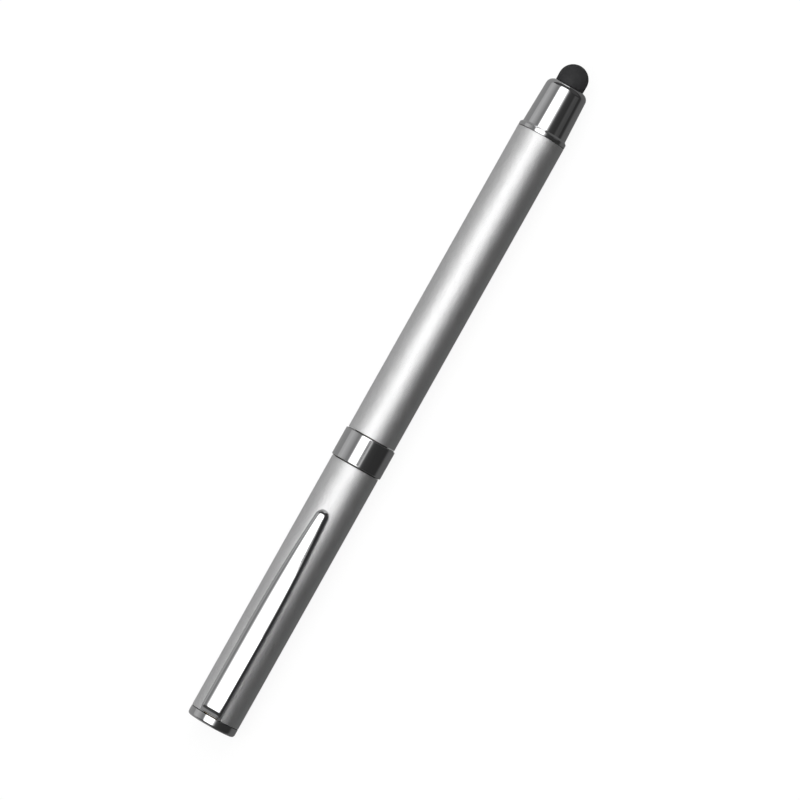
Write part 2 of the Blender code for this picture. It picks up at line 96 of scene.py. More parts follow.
# Radii
axis_height = sum(corner.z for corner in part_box("barrel_tube")) / 2
cap_radius = true_radius("cap_tube", outer_facets)
band_radius = true_radius("cap_band", outer_facets)
barrel_radius = true_radius("barrel_tube", outer_facets)
shoulder_radius = true_radius("grip_section", outer_facets)
liner_radius = true_radius("cap_liner", inner_facets)
bush_radius = true_radius("barrel_bush", inner_facets)
dome_radius = true_radius("stylus_tip", inner_facets)
point_radius = true_radius("refill_tip", fine_facets)
ball_low, ball_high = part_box("refill_ball")
ball_radius = (ball_high.z - ball_low.z) / 2
cap_bore = liner_radius + fit_gap
barrel_bore = bush_radius + fit_gap
stem_radius = bush_radius
running_gap = 0.00015
band_bore = shoulder_radius + running_gap
liner_wall = 0.0005
liner_bore = liner_radius - liner_wall
liner_floor = 0.0007
stud_radius = 0.0015
grip_radius = liner_bore - running_gap
grip_taper = 0.00025
grip_front_radius = grip_radius - grip_taper
grip_waist_depth = 0.0001
grip_waist = grip_front_radius - grip_waist_depth
section_bore = 0.0030
thread_radius = 0.0034
bush_bore = thread_radius + fit_gap
ring_bore = thread_radius + fit_gap
nose_hole = point_radius + running_gap
nose_spigot_radius = section_bore - fit_gap
nose_spigot_wall = 0.0005
neck_bore = nose_spigot_radius - nose_spigot_wall
collar_step = 0.0004
collar_radius = barrel_radius - collar_step
collar_taper = 0.000285
collar_top_radius = collar_radius - collar_taper
dome_lip = 0.0006
skirt_radius = dome_radius - dome_lip
skirt_bore = skirt_radius + fit_gap
core_wall = 0.0008
core_bore = skirt_radius - core_wall

# Pocket clip
clip_length = clip_tip - clip_root
clip_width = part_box("clip")[1].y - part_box("clip")[0].y
clip_root_height = 0.0022
clip_tip_height = 0.0012
clip_root_bend = 0.0017
clip_root_block = 0.0018
clip_blade_depth = 0.00175
clip_shoulder = 0.00115
clip_rest_gap = 0.00012
clip_pad_length = 0.0040
clip_blade_start = clip_root_block + clip_blade_depth
clip_pad_start = clip_length - clip_pad_length
clip_taper_start = 0.0169
clip_tip_width = 0.00245
clip_tip_round = 0.0013
clip_tip_roundness = 0.99
clip_border = 0.00056
clip_border_growth = 0.6
clip_border_limit = 0.9
clip_crown_share = 0.165
clip_tip_slope = 0.00125
clip_side_edge = 0.0001
clip_sheet = 0.00045
clip_side_wall = 0.00045
tab_thickness = 0.0007
tab_width = 0.0026
tab_depth = 0.0014
tab_gap = 0.00015

# Screw thread between the grip section and the bush
thread_lead = 0.0015
thread_starts = 2
thread_flank = 1.5
thread_run_in = 0.0002
grip_groove_depth = 0.0002
bush_groove_depth = 0.00022

# Fineness of the meshes
round_segments = 160
small_segments = 64
rounding_steps = 5
thread_row = 0.00006
clip_straight_row = 0.002
clip_taper_row = 0.001
clip_pad_row = 0.0005
on_axis = 1e-7
sharp_angle = math.radians(40)


def add_piece(name, mesh_edit, material, body, node, slot, *seam_shade_zones):
    """Make a smooth piece from an edited mesh. It stands for a CAD node and moves with its body.

    Its faces inside a radius and between two stations, in the seams between parts, get a dark painted
    shade.
    """
    bmesh.ops.recalc_face_normals(mesh_edit, faces=mesh_edit.faces)
    mesh = bpy.data.meshes.new(name)
    mesh_edit.to_mesh(mesh)
    mesh_edit.free()
    mesh.shade_smooth()
    mesh.set_sharp_from_angle(angle=sharp_angle)
    mesh.materials.append(material)
    # The faces in the seams take a second material, a dark painted shade
    if seam_shade_zones:
        mesh.materials.append(painted_seam_shade)
    for face in mesh.polygons:
        along, across, up = face.center
        distance = math.hypot(across, up - axis_height)
        inside = [start < along < end and distance < radius for radius, start, end in seam_shade_zones]
        face.material_index = int(any(inside))
    piece = bpy.data.objects.new(name, mesh)
    bpy.context.scene.collection.objects.link(piece)
    weighted = piece.modifiers.new("even shading", "WEIGHTED_NORMAL")
    weighted.keep_sharp = True
    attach(piece, body)
    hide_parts(node)
    return piece


def soften(corners):
    """Round off an outline's corners, each given as (along, radius, rounding)."""
    points = []
    for index, (along, radius, rounding) in enumerate(corners):
        here = Vector((along, radius))
        if rounding == 0:
            points.append(here)
            continue
        before = Vector(corners[index - 1][:2])
        after = Vector(corners[(index + 1) % len(corners)][:2])
        start = here + (before - here).normalized() * rounding
        end = here + (after - here).normalized() * rounding
        for step in range(rounding_steps + 1):
            part = step / rounding_steps
            points.append(start.lerp(here, part).lerp(here.lerp(end, part), part))
    return points


def arc(centre, radius, start, end, steps):
    """Points of a round edge: 0 degrees points along the pen and 90 degrees away from its axis."""
    angles = np.radians(np.linspace(start, end, steps + 1))
    return [Vector((centre[0] + radius * math.cos(a), centre[1] + radius * math.sin(a))) for a in angles]


def turned(outline, segments=round_segments):
    """Spin an outline round the pen's axis, as an edited mesh. One that ends on the axis is solid there."""
    mesh_edit = bmesh.new()
    rings = []
    for along, radius in outline:
        if radius < on_axis:
            rings.append([mesh_edit.verts.new((along, 0.0, axis_height))] * segments)
            continue
        ring = []
        for index in range(segments):
            turn = math.tau * index / segments
            place = (along, radius * math.sin(turn), axis_height + radius * math.cos(turn))
            ring.append(mesh_edit.verts.new(place))
        rings.append(ring)
    pairs = list(zip(rings, rings[1:]))
    if outline[0][1] > on_axis:
        pairs.append((rings[-1], rings[0]))
    for ring, following in pairs:
        for index in range(segments):
            after = (index + 1) % segments
            corners = [ring[index], ring[after], following[after], following[index]]
            mesh_edit.faces.new(list(dict.fromkeys(corners)))
    return mesh_edit


def rows(start, end, step):
    """Evenly spaced stations, about one step apart, ends included."""
    return np.linspace(start, end, max(2, round((end - start) / step) + 1))


def cut_thread(mesh_edit, start, end, radius, depth):
    """Press a helical groove into a turned mesh between two stations, outwards if the depth is positive."""
    fade = thread_lead / 2
    for vertex in mesh_edit.verts:
        along, across, up = vertex.co
        up -= axis_height
        distance = math.hypot(across, up)
        if abs(distance - radius) > fit_gap / 2 or not start < along < end:
            continue
        phase = thread_starts * along / thread_lead + math.atan2(across, up) * thread_starts / math.tau
        groove = min(1.0, thread_flank * abs(math.sin(math.pi * phase)))
        run_in = min(1.0, (along - start) / fade, (end - along) / fade)
        scale = (distance + depth * (1.0 - groove) * run_in) / distance
        vertex.co = (along, across * scale, axis_height + up * scale)


def box_mesh(low, high):
    """A plain box as an edited mesh, for cutting or joining."""
    mesh_edit = bmesh.new()
    bmesh.ops.create_cube(mesh_edit, size=1.0)
    for vertex in mesh_edit.verts:
        vertex.co = [(a + b) / 2 + (b - a) * c for a, b, c in zip(low, high, vertex.co)]
    return mesh_edit


def combined(mesh_edit, tools):
    """An edited mesh after joining or cutting other edited meshes, given as (operation, mesh)."""
    objects = []
    for edited in [mesh_edit] + [tool for operation, tool in tools]:
        bmesh.ops.recalc_face_normals(edited, faces=edited.faces)
        mesh = bpy.data.meshes.new("working")
        edited.to_mesh(mesh)
        edited.free()
        objects.append(bpy.data.objects.new("working", mesh))
        bpy.context.scene.collection.objects.link(objects[-1])
    for (operation, tool), thing in zip(tools, objects[1:]):
        modifier = objects[0].modifiers.new("combine", "BOOLEAN")
        modifier.operation = operation
        modifier.solver = "EXACT"
        modifier.object = thing
    graph = bpy.context.evaluated_depsgraph_get()
    result = bmesh.new()
    result.from_mesh(objects[0].evaluated_get(graph).to_mesh())
    for thing in objects:
        bpy.data.meshes.remove(thing.data)
    return result


# Materials: the range that a noise mostly covers, and how far the plain finishes change in roughness
noise_low = 0.3
noise_high = 0.7
gloss_change = 0.06


def new_material(name, colour, metallic, roughness):
    """A material with its shader, and its object coordinates for procedural detail."""
    material = bpy.data.materials.new(name)
    material.use_nodes = True
    tree = material.node_tree
    shader = tree.nodes["Principled BSDF"]
    shader.inputs["Base Color"].default_value = (*colour, 1.0)
    shader.inputs["Metallic"].default_value = metallic
    shader.inputs["Roughness"].default_value = roughness
    place = tree.nodes.new("ShaderNodeTexCoord").outputs["Object"]
    return material, tree, shader, place


def noise(tree, place, size, stretch=(1.0, 1.0, 1.0), detail=3.0):
    """Noise with features of about a given size in metres, stretched along each axis."""
    mapping = tree.nodes.new("ShaderNodeMapping")
    mapping.inputs["Scale"].default_value = [1.0 / (size * along) for along in stretch]
    texture = tree.nodes.new("ShaderNodeTexNoise")
    texture.inputs["Scale"].default_value = 1.0
    texture.inputs["Detail"].default_value = detail
    tree.links.new(place, mapping.inputs["Vector"])
    tree.links.new(mapping.outputs["Vector"], texture.inputs["Vector"])
    return texture.outputs["Fac"]


def spread(tree, value, low, high):
    """Stretch the middle of a noise to the range from low to high."""
    stretch = tree.nodes.new("ShaderNodeMapRange")
    stretch.inputs["From Min"].default_value = noise_low
    stretch.inputs["From Max"].default_value = noise_high
    stretch.inputs["To Min"].default_value = low
    stretch.inputs["To Max"].default_value = high
    tree.links.new(value, stretch.inputs["Value"])
    return stretch.outputs["Result"]


def tint(tree, shader, value, dark, light):
    """Colour a shader between two colours by a noise."""
    ramp = tree.nodes.new("ShaderNodeValToRGB")
    ramp.color_ramp.elements[0].position = noise_low
    ramp.color_ramp.elements[0].color = (*dark, 1.0)
    ramp.color_ramp.elements[1].position = noise_high
    ramp.color_ramp.elements[1].color = (*light, 1.0)
    tree.links.new(value, ramp.inputs["Fac"])
    tree.links.new(ramp.outputs["Color"], shader.inputs["Base Color"])


def bump(tree, shader, height, depth):
    """Raise a shader's surface by a height, to a depth in metres."""
    relief = tree.nodes.new("ShaderNodeBump")
    relief.inputs["Strength"].default_value = 1.0
    relief.inputs["Distance"].default_value = depth
    tree.links.new(height, relief.inputs["Height"])
    tree.links.new(relief.outputs["Normal"], shader.inputs["Normal"])


def satin_silver():
    """Bead-blasted lacquered metal: a fine grain, with slow changes in gloss and tone."""
    material, tree, shader, place = new_material("satin silver", (0.72, 0.72, 0.72), 1.0, 0.43)
    tone = noise(tree, place, 0.004, (4.0, 1.0, 1.0))
    tint(tree, shader, tone, (0.700, 0.700, 0.702), (0.736, 0.736, 0.738))
    gloss = noise(tree, place, 0.0012)
    tree.links.new(spread(tree, gloss, 0.41, 0.45), shader.inputs["Roughness"])
    grain = noise(tree, place, 0.00005, detail=2.0)
    bump(tree, shader, grain, 0.00005)
    return material


def bright_chrome():
    """Polished plating: a trace of waviness, and faint hairlines round the piece."""
    material, tree, shader, place = new_material("bright chrome", (0.55, 0.55, 0.555), 1.0, 0.05)
    tone = noise(tree, place, 0.003)
    tint(tree, shader, tone, (0.54, 0.54, 0.545), (0.56, 0.56, 0.565))
    hairlines = noise(tree, place, 0.00005, (1.0, 30.0, 30.0))
    tree.links.new(spread(tree, hairlines, 0.035, 0.075), shader.inputs["Roughness"])
    waviness = noise(tree, place, 0.0015, detail=1.0)
    bump(tree, shader, waviness, 0.000002)
    return material


def plain_metal(name, dark, light, roughness):
    """Turned metal: fine tool marks round the piece, and slow changes in tone."""
    material, tree, shader, place = new_material(name, light, 1.0, roughness)
    tone = noise(tree, place, 0.001)
    tint(tree, shader, tone, dark, light)
    marks = noise(tree, place, 0.00004, (1.0, 40.0, 40.0))
    gloss = spread(tree, marks, roughness - gloss_change, roughness + gloss_change)
    tree.links.new(gloss, shader.inputs["Roughness"])
    bump(tree, shader, marks, 0.000002)
    return material


def black_rubber():
    """Soft matt rubber: a fine pitted skin with a little bloom."""
    material, tree, shader, place = new_material("black rubber", (0.018, 0.018, 0.019), 0.0, 0.70)
    shader.inputs["Specular IOR Level"].default_value = 0.25
    bloom = noise(tree, place, 0.0012)
    tint(tree, shader, bloom, (0.015, 0.015, 0.016), (0.021, 0.021, 0.022))
    pits = noise(tree, place, 0.00012)
    tree.links.new(spread(tree, pits, 0.62, 0.78), shader.inputs["Roughness"])
    bump(tree, shader, pits, 0.000008)
    return material


def moulded_plastic(name, dark, light, roughness, subsurface=0.0):
    """Moulded plastic: an even spark-eroded texture, with faint flow marks."""
    material, tree, shader, place = new_material(name, light, 0.0, roughness)
    shader.inputs["Subsurface Weight"].default_value = subsurface
    shader.inputs["Subsurface Radius"].default_value = (0.001, 0.001, 0.001)
    flow = noise(tree, place, 0.0015, (3.0, 1.0, 1.0))
    tint(tree, shader, flow, dark, light)
    texture = noise(tree, place, 0.00010)
    gloss = spread(tree, texture, roughness - gloss_change, roughness + gloss_change)
    tree.links.new(gloss, shader.inputs["Roughness"])
    bump(tree, shader, texture, 0.000004)
    return material


def inked_fibre():
    """A bundle of ink-soaked fibres that run along the pen."""
    material, tree, shader, place = new_material("inked fibre", (0.03, 0.03, 0.05), 0.0, 0.85)
    strands = noise(tree, place, 0.00006, (40.0, 1.0, 1.0))
    tint(tree, shader, strands, (0.012, 0.012, 0.025), (0.05, 0.05, 0.085))
    bump(tree, shader, strands, 0.00003)
    return material


satin = satin_silver()
chrome = bright_chrome()
rubber = black_rubber()
brass = plain_metal("brass", (0.62, 0.45, 0.20), (0.74, 0.57, 0.29), 0.28)
steel = plain_metal("steel", (0.50, 0.50, 0.51), (0.60, 0.60, 0.61), 0.24)
# Painted shade: a near-black metal colour for the faces in the seams between parts, where shade falls
painted_seam_shade = plain_metal("unplated metal", (0.05, 0.048, 0.046), (0.09, 0.086, 0.082), 0.50)
black_plastic = moulded_plastic("black plastic", (0.016, 0.016, 0.018), (0.024, 0.024, 0.026), 0.36)
white_plastic = moulded_plastic("white plastic", (0.74, 0.74, 0.72), (0.80, 0.80, 0.78), 0.42, 0.1)
milky_plastic = moulded_plastic("milky plastic", (0.66, 0.68, 0.70), (0.73, 0.75, 0.77), 0.30, 0.3)
fibre = inked_fibre()


# Cap

def make_cap_tube():
    """The satin tube of the cap, with the notch for the clip's tab at its closed end."""
    edge = 0.0001
    cutter_margin = 0.001
    notch_end = clip_root + tab_thickness + tab_gap
    outline = soften([
        (cap_start, cap_bore, 0.0),
        (cap_start, cap_radius, edge),
        (notch_end + tab_thickness, cap_radius, 0.0),
        (cap_end, cap_radius, edge),
        (cap_end, cap_bore, 0.0),
    ])
    half_notch = tab_width / 2 + tab_gap
    surface = axis_height + cap_radius
    notch_low = (finial_end, -half_notch, surface - tab_depth - tab_gap)
    notch_high = (notch_end, half_notch, surface + cutter_margin)
    tube = combined(turned(outline), [("DIFFERENCE", box_mesh(notch_low, notch_high))])
    # Faces inside its outer surface, seen down the seams, take the dark painted shade
    seam_shade_zones = (cap_radius - edge, cap_start - seam, cap_end + seam)
    add_piece("cap_tube_satin", tube, satin, "cap", "cap_tube", "satin_silver", seam_shade_zones)


def make_cap_liner():
    """The white inner cap, with a rounded mouth and floor."""
    end_edge = 0.0003
    mouth_edge = 0.0001
    inner_mouth_edge = 0.0002
    inner_floor_edge = 0.0006
    floor = liner_start + liner_floor
    outline = soften([
        (liner_start, 0.0, 0.0),
        (liner_start, liner_radius, end_edge),
        (liner_end, liner_radius, mouth_edge),
        (liner_end, liner_bore, inner_mouth_edge),
        (floor, liner_bore, inner_floor_edge),
        (floor, 0.0, 0.0),
    ])
    liner = turned(outline, small_segments)
    add_piece("cap_liner_moulded", liner, white_plastic, "cap", "cap_liner", "white_plastic")


def make_cap_band():
    """The chrome band round the cap's mouth, with a low lip on each side that closes its seams. The lips
    and the spigot take a dark painted shade.
    """
    edge = 0.0002
    spigot_edge = 0.0001
    mouth_edge = 0.00025
    lip_share = 0.7
    lip = lip_share * band_seam
    front_lip = cap_radius - groove_depth
    rear_lip = barrel_radius - groove_depth
    outline = soften([
        (band_spigot_start, band_bore, spigot_edge),
        (band_spigot_start, liner_radius, spigot_edge),
        (band_start - lip, liner_radius, 0.0),
        (band_start - lip, front_lip, 0.0),
        (band_start, front_lip, 0.0),
        (band_start, band_radius, edge),
        (band_end, band_radius, edge),
        (band_end, rear_lip, 0.0),
        (band_end + lip, rear_lip, 0.0),
        (band_end + lip, band_bore, mouth_edge),
    ])
    # The spigot, the front lip and the rear lip get the dark painted seam shade
    front = (band_radius - edge, band_spigot_start - seam, band_start + seam / 4)
    rear = (rear_lip + seam / 4, band_end, band_end + 2 * lip)
    add_piece("cap_band_chrome", turned(outline), chrome, "cap", "cap_band", "bright_chrome", front, rear)


def make_cap_finial():
    """The chrome disc that closes the cap, with the stud that holds it."""
    face_edge = 0.00065
    seam_edge = 0.00008
    stud_edge = 0.0002
    outline = soften([
        (pen_start, 0.0, 0.0),
        (pen_start, cap_radius, face_edge),
        (finial_end, cap_radius, seam_edge),
        (finial_end, stud_radius, 0.0),
        (stud_end, stud_radius, stud_edge),
        (stud_end, 0.0, 0.0),
    ])
    # Its back face and stud, seen down the seam, take the dark painted shade
    seam_shade_zones = (cap_radius - seam, finial_end - seam / 2, stud_end + seam)
    add_piece("cap_finial_chrome", turned(outline), chrome, "cap", "cap_finial", "bright_chrome", seam_shade_zones)


# Pocket clip

def clip_taper(distance):
    """How far the clip has drawn in: 0 along its straight part, 1 at its tip."""
    return max(0.0, (distance - clip_taper_start) / (clip_length - clip_taper_start)) ** 2


def clip_nose(distance):
    """The share of its width that the clip keeps in its rounded nose, 1 before it."""
    into_tip = max(0.0, (distance - clip_length + clip_tip_round) / clip_tip_round)
    return math.sqrt(1.0 - (clip_tip_roundness * into_tip) ** 2)


def clip_half_width(distance):
    """Half the clip's width: straight at first, then drawn in along a curve to a rounded tip."""
    width = clip_width - (clip_width - clip_tip_width) * clip_taper(distance)
    return width / 2 * clip_nose(distance)


def clip_top(distance):
    """Height of the clip's back over the cap, bent down at the root and curved down at the tip."""
    slope = (clip_root_height - clip_tip_height) / clip_length
    height = clip_root_height - slope * distance
    into_bend = max(0.0, 1.0 - distance / clip_root_bend)
    drop = clip_root_bend * (1.0 - math.sqrt(max(0.0, 1.0 - into_bend ** 2)))
    into_tip = max(0.0, 1.0 - (clip_length - distance) / clip_tip_slope)
    fall = clip_tip_height - clip_rest_gap - clip_side_edge
    return height - drop - fall * into_tip ** 2


def clip_bottom(distance):
    """Height of the clip's lower edges over the cap: down at the root block and at the tip's pad."""
    if distance <= clip_root_block or distance >= clip_pad_start:
        return clip_rest_gap
    blade_root = clip_root_height - clip_blade_depth
    if distance < clip_blade_start:
        rise = (distance - clip_root_block) / clip_blade_depth
    else:
        rise = (clip_pad_start - distance) / (clip_pad_start - clip_blade_start)
    return clip_rest_gap + (blade_root - clip_rest_gap) * rise


def clip_point(distance, across, height):
    """A point of the clip, given from its root and the cap's surface."""
    return (clip_root + distance, across, axis_height + cap_radius + height)


def clip_section(distance):
    """Outline of the clip across the pen: a crowned back, rounded borders and flat sides."""
    half_width = clip_half_width(distance)
    top = clip_top(distance)
    bottom = clip_bottom(distance)
    rise = min(top - bottom, clip_shoulder) - clip_side_edge
    border = clip_border * (1.0 + clip_border_growth * clip_taper(distance) ** 2)
    border = min(border / clip_nose(distance), clip_border_limit * half_width)
    crown = min(clip_crown_share * half_width, rise / 2)
    crown_shares = (0.8, 0.6, 0.4, 0.2)
    side = [(half_width, bottom)]
    curved = [half_width - border * (1.0 - math.cos(angle)) for angle in np.radians(np.linspace(0, 90, 17))]
    for across in curved + [curved[-1] * part for part in crown_shares]:
        into_border = max(0.0, 1.0 - (half_width - across) / border)
        fall = (rise - crown) * (1.0 - math.sqrt(1.0 - into_border ** 2))
        side.append((across, top - crown * (across / half_width) ** 2 - fall))
    outline = side + [(0.0, top)] + [(-across, height) for across, height in reversed(side)]
    return [clip_point(distance, across, height) for across, height in outline]


def clip_channel(distance):
    """Outline of the hollow under the blade."""
    half_width = clip_half_width(distance) - clip_side_wall
    top = clip_top(distance) - clip_sheet
    bottom = clip_bottom(distance) - clip_blade_depth
    eaves = top - clip_crown_share * half_width
    left = [(half_width, bottom), (half_width, eaves)]
    right = [(-half_width, eaves), (-half_width, bottom)]
    return [clip_point(distance, across, height) for across, height in left + [(0.0, top)] + right]


def loft(rings):
    """Skin a row of rings that all have the same number of points, and close both ends."""
    mesh_edit = bmesh.new()
    skin = [[mesh_edit.verts.new(point) for point in ring] for ring in rings]
    for row, following in zip(skin, skin[1:]):
        for index in range(len(row)):
            after = (index + 1) % len(row)
            mesh_edit.faces.new((row[index], row[after], following[after], following[index]))
    mesh_edit.faces.new(skin[0])
    mesh_edit.faces.new(skin[-1])
    return mesh_edit


def make_clip():
    """The sprung pocket clip: a hollow tapered blade, a root bent down and a tab into the cap."""
    quarter = np.radians(np.linspace(0, 90, 13))
    root = [clip_root_bend * (1.0 - math.cos(angle)) for angle in quarter]
    tip = [clip_length - clip_tip_round * (1.0 - math.sin(angle)) for angle in quarter]
    blade = list(rows(clip_blade_start, clip_taper_start, clip_straight_row))
    blade += list(rows(clip_taper_start, clip_pad_start, clip_taper_row))[1:]
    blade += list(rows(clip_pad_start, tip[0], clip_pad_row))[1:-1]
    channel = rows(clip_blade_start + clip_sheet, clip_pad_start - clip_sheet, clip_taper_row)
    outer = loft([clip_section(distance) for distance in root + [clip_root_block] + blade + tip])
    hollow = loft([clip_channel(distance) for distance in channel])
    surface = axis_height + cap_radius
    tab_low = (clip_root, -tab_width / 2, surface - tab_depth)
    tab_top = surface + (clip_root_height - clip_root_bend) / 2
    tab_high = (clip_root + tab_thickness, tab_width / 2, tab_top)
    tab = box_mesh(tab_low, tab_high)
    clip = combined(outer, [("DIFFERENCE", hollow), ("UNION", tab)])
    add_piece("clip_chrome", clip, chrome, "pocket_clip", "clip", "bright_chrome")


# Barrel and stylus

def make_barrel_tube():
    """The satin barrel."""
    edge = 0.0001
    outline = soften([
        (barrel_mouth, barrel_bore, 0.0),
        (barrel_mouth, barrel_radius, edge),
        (barrel_end, barrel_radius, edge / 2),
        (barrel_end, barrel_bore, 0.0),
    ])
    # Faces inside its outer surface, its ends and bore, take the dark painted shade of the seams
    seam_shade_zones = (barrel_radius - edge, barrel_mouth - seam, barrel_end + seam)
    add_piece("barrel_tube_satin", turned(outline), satin, "barrel", "barrel_tube", "satin_silver", seam_shade_zones)


def make_barrel_bush():
    """The brass bush in the barrel's mouth, threaded inside."""
    thread_start = barrel_mouth + thread_run_in
    outline = [Vector((barrel_mouth, bush_bore + thread_run_in)), Vector((barrel_mouth, bush_radius))]
    outline += [Vector((bush_end, bush_radius)), Vector((bush_end, bush_bore))]
    outline += [Vector((along, bush_bore)) for along in rows(thread_start, bush_end, thread_row)[-2::-1]]
    bush = turned(outline, small_segments)
    cut_thread(bush, thread_start, bush_end, bush_bore, bush_groove_depth)
    add_piece("barrel_bush_threaded", bush, brass, "barrel", "barrel_bush", "brass")


def make_stylus_collar():
    """The chrome collar on the tail, with its flange, its stem and the seat of the spring."""
    spring_start, spring_end = reach("refill_spring")
    spring_bore = 0.00235
    spring_seat = spring_end + fit_gap
    tail_bore = 0.00305
    tail_bore_depth = 0.00105
    tail_bore_end = spring_start + tail_bore_depth
    stem_edge = 0.0002
    flange_edge = 0.00005
    chamfer_edge = 0.00004
    flange_thickness = 0.0011
    flange_end = flange_start + flange_thickness
    fillet = 0.0014
    outline = soften([
        (spring_seat, 0.0, 0.0),
        (spring_seat, spring_bore, 0.0),
        (tail_bore_end, spring_bore, 0.0),
        (tail_bore_end, tail_bore, 0.0),
        (stem_start, tail_bore, 0.0),
        (stem_start, stem_radius, stem_edge),
        (flange_start, stem_radius, 0.0),
        (flange_start, barrel_radius, flange_edge),
        (flange_end - collar_step, barrel_radius, chamfer_edge),
        (flange_end, collar_radius, 0.0),
    ])
    outline += arc((collar_top - fillet, collar_top_radius - fillet), fillet, 90, 0, 12)
    outline += soften([
        (collar_top, skirt_bore, 0.0),
        (skirt_floor, skirt_bore, 0.0),
        (skirt_floor, 0.0, 0.0),
    ])
    # Its stem and the back of its flange, seen down the seam, take the dark painted shade
    seam_shade_zones = (barrel_radius - seam, stem_start - seam, flange_start + seam / 2)
    collar = turned(outline)
    add_piece("stylus_collar_chrome", collar, chrome, "barrel", "stylus_collar", "bright_chrome", seam_shade_zones)


def make_stylus_tip():
    """The hollow rubber dome in the collar."""
    wall = 0.0008
    dome_edge = 0.00015
    skirt_edge = 0.0001
    centre = (pen_end - dome_radius, 0.0)
    dome = arc(centre, dome_radius, 0, 90, 24)
    dome += soften([
        (dome_start, dome_radius, dome_edge),
        (dome_start, skirt_radius, 0.0),
        (skirt_start, skirt_radius, skirt_edge),
        (skirt_start, core_bore, 0.0),
    ])[1:]
    dome += arc(centre, dome_radius - wall, 90, 0, 12)
    dome[0] = Vector((pen_end, 0.0))
    dome[-1] = Vector((pen_end - wall, 0.0))
    add_piece("stylus_tip_rubber", turned(dome), rubber, "barrel", "stylus_tip", "black_rubber")


def make_spring():
    """The compression spring behind the refill, which shortens as the refill is pushed back."""
    start, end = reach("refill_spring")
    low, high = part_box("refill_spring")
    wire = 0.00045
    wire_points = 12
    coils = 5
    points_per_coil = 28
    steps = points_per_coil * coils
    mean_radius = (high.y - low.y) / 2 - wire / 2
    rings = []
    for index in range(steps + 1):
        turn = math.tau * coils * index / steps
        outward = Vector((0.0, math.cos(turn), math.sin(turn)))
        middle = Vector((start + wire / 2 + (end - start - wire) * index / steps, 0.0, axis_height))
        middle += outward * mean_radius
        ring = []
        for angle in np.linspace(0.0, math.tau, wire_points, endpoint=False):
            direction = outward * math.cos(angle) + Vector((math.sin(angle), 0, 0))
            ring.append(middle + wire / 2 * direction)
        rings.append(ring)
    spring = add_piece("refill_spring_wound", loft(rings), steel, "barrel", "refill_spring", "steel")
    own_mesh(spring)


# Writing end, inside the cap

def make_grip_section():
    """The ribbed grip section with its thread."""
    rib_count = 5
    rib_height = 0.00012
    rib_width = 0.0007
    rib_pitch = 0.0017
    rib_fullness = 0.7
    ribs_from_front = 0.0040
    ribs_start = grip_front + ribs_from_front
    waist_edge = 0.0008
    swell_power = 1.5
    shoulder_length = 0.0021
    shoulder_front = shoulder_rear - shoulder_length
    shoulder_slope = 0.0001
    edge = 0.0001
    thread_relief = 0.0003
    thread_start = ring_rear + thread_relief
    thread_stop = thread_end - thread_run_in
    outline = soften([
        (thread_end, section_bore, 0.0),
        (grip_front, section_bore, 0.0),
        (grip_front, grip_front_radius, edge),
        (ribs_start - rib_pitch, grip_waist, waist_edge),
    ])[1:]
    for rib in range(rib_count):
        rib_start = ribs_start + rib * rib_pitch
        for part in np.linspace(0.0, 1.0, 9):
            height = rib_height * math.sin(math.pi * part) ** rib_fullness
            outline.append(Vector((rib_start + rib_width * part, grip_waist + height)))
    ribs_end = outline[-1][0]
    for part in np.linspace(0.0, 1.0, 13)[1:]:
        along = ribs_end + (shoulder_front - ribs_end) * part
        swell = (grip_radius - grip_waist) * math.sin(part * math.pi / 2) ** swell_power
        outline.append(Vector((along, grip_waist + swell)))
    outline += soften([
        (shoulder_front, grip_radius, 0.0),
        (shoulder_front + shoulder_slope, shoulder_radius, edge / 2),
        (shoulder_rear, shoulder_radius, edge),
        (shoulder_rear, thread_radius, 0.0),
    ])[1:]
    outline += [Vector((along, thread_radius)) for along in rows(thread_start, thread_stop, thread_row)]
    outline += [Vector((thread_end, thread_radius - edge)), Vector((thread_end, section_bore))]
    grip = turned(outline, small_segments * 2)
    cut_thread(grip, thread_start, thread_stop, thread_radius, -grip_groove_depth)
    add_piece("grip_section_moulded", grip, black_plastic, "section", "grip_section", "black_plastic")


def make_nose_cone():
    """The chrome nose cone, with the seat of the refill's head inside it."""
    lip = 0.0004
    lip_rise = 0.0001
    swell = 0.00022
    hole_edge = 0.0001
    tip_edge = 0.00015
    seat_depth = 0.0050
    seat = nose_front + seat_depth
    tip_radius = nose_hole + lip
    outline = soften([
        (seat, neck_bore, 0.0),
        (seat, nose_hole, 0.0),
        (nose_front, nose_hole, hole_edge),
        (nose_front, tip_radius, tip_edge),
        (nose_front + lip, tip_radius + lip_rise, 0.0),
    ])[:-1]
    for part in np.linspace(0.05, 1.0, 20):
        along = nose_front + (nose_rear - nose_front) * part
        cone = tip_radius + (grip_front_radius - tip_radius) * part
        outline.append(Vector((along, cone + swell * math.sin(part * math.pi))))
    outline += [Vector((nose_rear, nose_spigot_radius)), Vector((nose_spigot_end, nose_spigot_radius))]
    outline += [Vector((nose_spigot_end, neck_bore))]
    add_piece("nose_cone_chrome", turned(outline), chrome, "section", "nose_cone", "bright_chrome")


def make_section_ring():
    """The loose chrome ring between the grip section and the barrel."""
    edge = 0.0001
    outline = soften([
        (ring_front, ring_bore, 0.0),
        (ring_front, shoulder_radius, edge),
        (ring_rear, shoulder_radius, edge),
        (ring_rear, ring_bore, 0.0),
    ])
    add_piece("section_ring_chrome", turned(outline), chrome, "ring", "section_ring", "bright_chrome")


